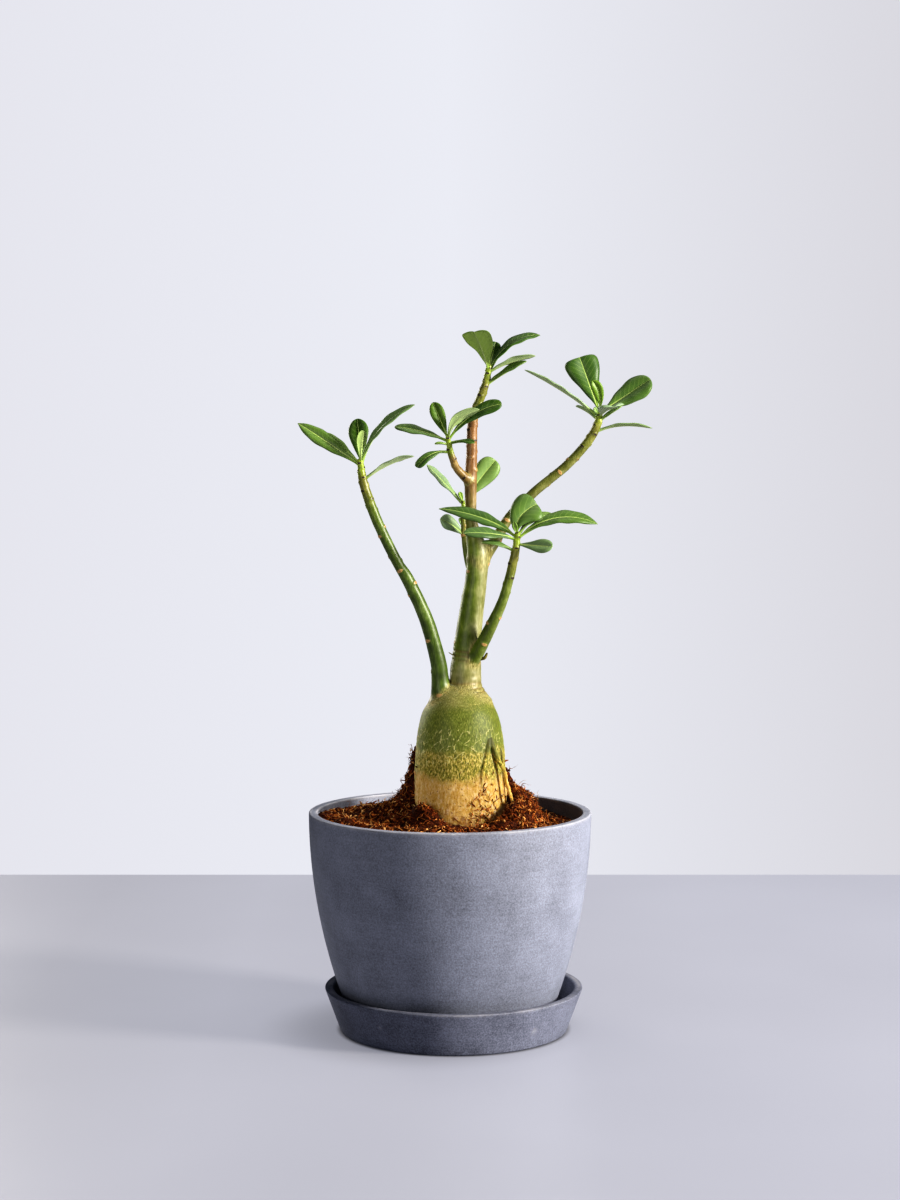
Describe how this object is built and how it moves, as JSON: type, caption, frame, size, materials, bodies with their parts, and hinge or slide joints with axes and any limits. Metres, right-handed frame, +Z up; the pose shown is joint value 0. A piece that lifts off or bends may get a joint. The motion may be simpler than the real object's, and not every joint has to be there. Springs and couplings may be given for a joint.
{
  "type": "potted desert rose adenium",
  "caption": "Young desert rose with a swollen caudex, forked stems and heads of blunt leaves, growing in soil in a tapered round pot on a shallow saucer.",
  "frame": {"origin": "on the saucer's flat foot, where the pot's axis meets the surface it stands on", "axes": "+Z up, the pot's axis and the longest extent; the plant's open front faces -Y; +X to the viewer's right"},
  "size_m": [0.1898, 0.151, 0.3732],
  "materials": {
    "pot_plastic": "matte blue-grey, fine speckle, paler worn rims",
    "soil": "dark brown coir and peat, fibrous",
    "caudex_bark": "green above a pale tan crack net, yellow-tan below, satin",
    "stem_bark": "green to brown bark with small dark leaf scars, satin",
    "leaf": "deep green above, grey-green below, soft sheen"
  },
  "bodies": {
    "root": {"saucer": "pot_plastic", "pot": "pot_plastic", "soil": "soil", "caudex": "caudex_bark", "trunk": "stem_bark", "branch_left": "stem_bark", "branch_low_right": "stem_bark", "branch_high_right": "stem_bark", "shoot_upper_left": "stem_bark", "twig_rear": "stem_bark", "leaves_top": "leaf", "leaves_left": "leaf", "leaves_low_right": "leaf", "leaves_high_right": "leaf", "leaves_upper_left": "leaf", "leaves_rear": "leaf"}
  },
  "joints": []
}
